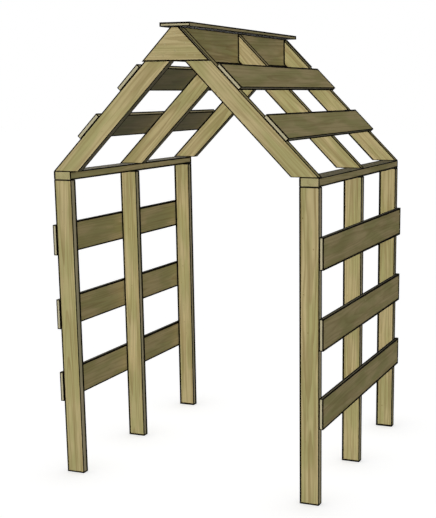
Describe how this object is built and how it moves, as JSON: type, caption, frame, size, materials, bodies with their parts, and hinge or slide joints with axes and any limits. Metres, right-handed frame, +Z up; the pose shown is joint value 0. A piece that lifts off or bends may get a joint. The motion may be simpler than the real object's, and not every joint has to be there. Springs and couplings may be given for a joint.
{
  "type": "garden arbor",
  "caption": "Gabled wooden garden arbor: a walk-through passage between slatted sides, with open rafters, a ridge board and slats on both roof slopes.",
  "frame": {"origin": "on the ground at the middle of the arbor, halfway between the sides and between the front and the back", "axes": "+X to the right seen from the front, +Y from the front to the back through the passage, +Z up"},
  "size_m": [1.295, 1.257, 2.0385],
  "materials": {
    "post_timber": "planed softwood, lightly weathered, matt",
    "plate_timber": "planed softwood, lightly weathered, matt",
    "rafter_timber": "planed softwood, lightly weathered, matt",
    "ridge_timber": "planed softwood, lightly weathered, matt",
    "slat_board": "planed softwood, lightly weathered, matt",
    "trim_board": "planed softwood, lightly weathered, matt"
  },
  "bodies": {
    "root": {"post_front_left": "post_timber", "rafter_front_left": "rafter_timber", "post_middle_left": "post_timber", "rafter_middle_left": "rafter_timber", "post_back_left": "post_timber", "rafter_back_left": "rafter_timber", "top_plate_left": "plate_timber", "roof_slat_lower_left": "slat_board", "roof_slat_upper_left": "slat_board", "side_slat_top_left": "slat_board", "side_slat_middle_left": "slat_board", "side_slat_bottom_left": "slat_board", "post_front_right": "post_timber", "rafter_front_right": "rafter_timber", "post_middle_right": "post_timber", "rafter_middle_right": "rafter_timber", "post_back_right": "post_timber", "rafter_back_right": "rafter_timber", "top_plate_right": "plate_timber", "roof_slat_lower_right": "slat_board", "roof_slat_upper_right": "slat_board", "side_slat_top_right": "slat_board", "side_slat_middle_right": "slat_board", "side_slat_bottom_right": "slat_board", "ridge_board": "ridge_timber", "ridge_cap": "trim_board", "gusset_front": "trim_board", "gusset_back": "trim_board"}
  },
  "joints": []
}
